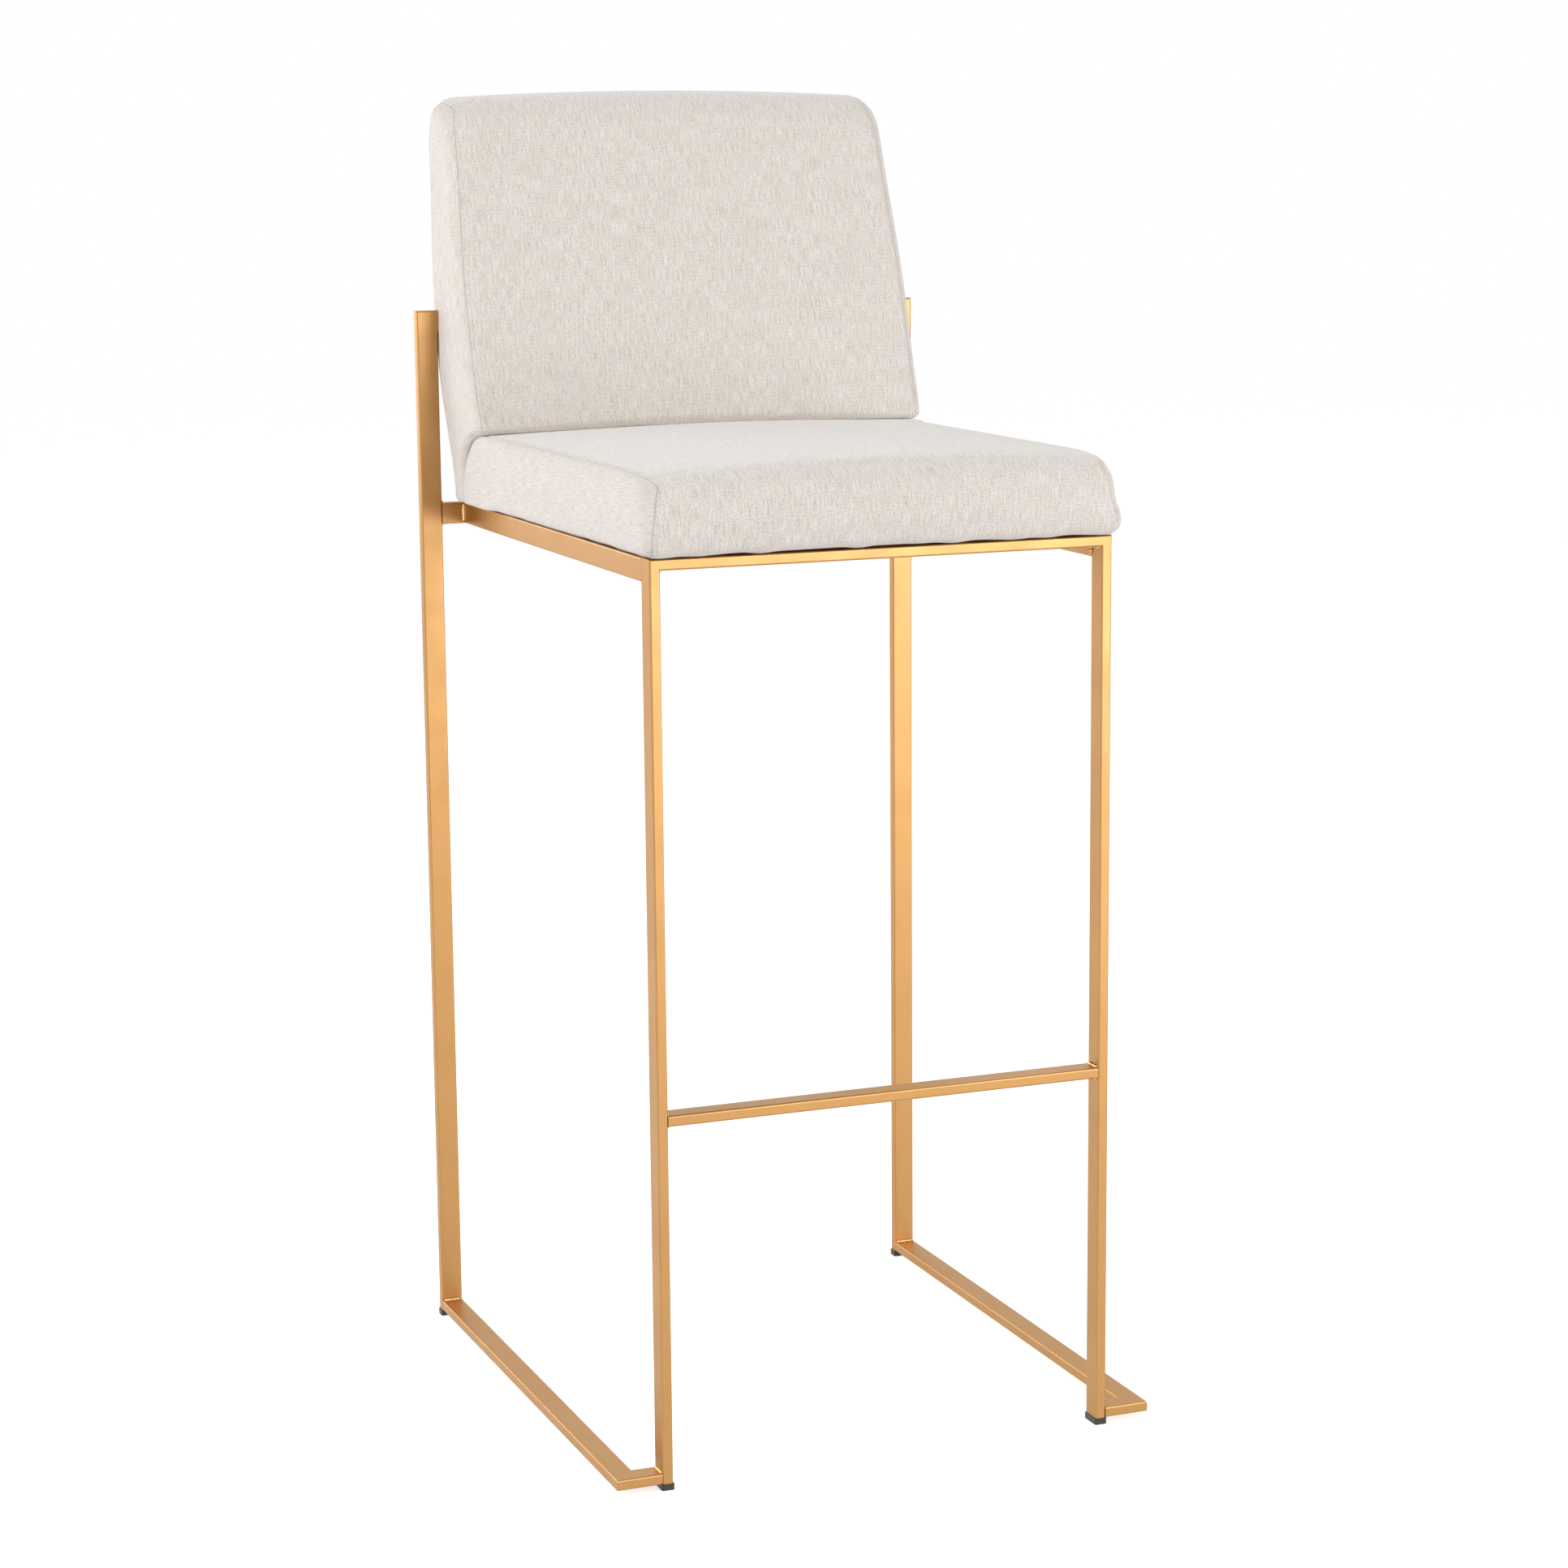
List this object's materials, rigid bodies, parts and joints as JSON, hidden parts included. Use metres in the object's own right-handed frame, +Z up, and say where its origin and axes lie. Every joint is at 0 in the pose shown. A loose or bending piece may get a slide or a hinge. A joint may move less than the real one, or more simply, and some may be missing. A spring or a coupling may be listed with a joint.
{
  "type": "bar stool with footrest",
  "caption": "Bar stool: upholstered seat and low leaning back on a slim welded frame of flat rectangular tube, with floor rails and a front footrest bar.",
  "frame": {"origin": "on the floor, under the centre of the stool's bounding box", "axes": "+Z up; the sitter faces -Y; +X to the right of someone who looks at the stool's front"},
  "size_m": [0.4686, 0.5418, 1.089],
  "materials": {
    "gold_frame": "satin metallic gold coating, even, with softly bright edges",
    "linen_fabric": "plain weave, heathered light greige, matt",
    "black_foot": "moulded black, slightly glossy",
    "dust_cover": "thin black non-woven cloth",
    "foam": "pale yellow open-cell foam, matt",
    "plywood": "raw plywood",
    "zinc_steel": "bright zinc plate"
  },
  "bodies": {
    "root": {"front_leg_left": "gold_frame", "front_leg_right": "gold_frame", "front_seat_rail": "gold_frame", "side_seat_rail_left": "gold_frame", "side_seat_rail_right": "gold_frame", "rear_seat_crossbar": "gold_frame", "rear_post_left": "gold_frame", "rear_post_right": "gold_frame", "upper_back_crossbar": "gold_frame", "floor_rail_left": "gold_frame", "floor_rail_right": "gold_frame", "front_floor_stub_left": "gold_frame", "front_floor_stub_right": "gold_frame", "footrest_bar": "gold_frame", "front_foot_left": "black_foot", "front_foot_right": "black_foot", "rear_foot_left": "black_foot", "rear_foot_right": "black_foot", "seat_tab_front_left": "gold_frame", "seat_tab_front_right": "gold_frame", "seat_tab_rear_left": "gold_frame", "seat_tab_rear_right": "gold_frame", "back_bracket_left": "gold_frame", "back_bracket_right": "gold_frame", "seat_board": "plywood", "seat_foam": "foam", "seat_cover": "linen_fabric", "seat_dust_cover": "dust_cover", "seat_tee_nuts": "zinc_steel", "seat_bolts": "zinc_steel", "seat_washers": "zinc_steel", "back_board": "plywood", "back_foam": "foam", "back_rear_pad": "foam", "back_cover": "linen_fabric", "back_tee_nuts": "zinc_steel", "back_bolts": "zinc_steel", "back_washers": "zinc_steel"}
  },
  "joints": []
}
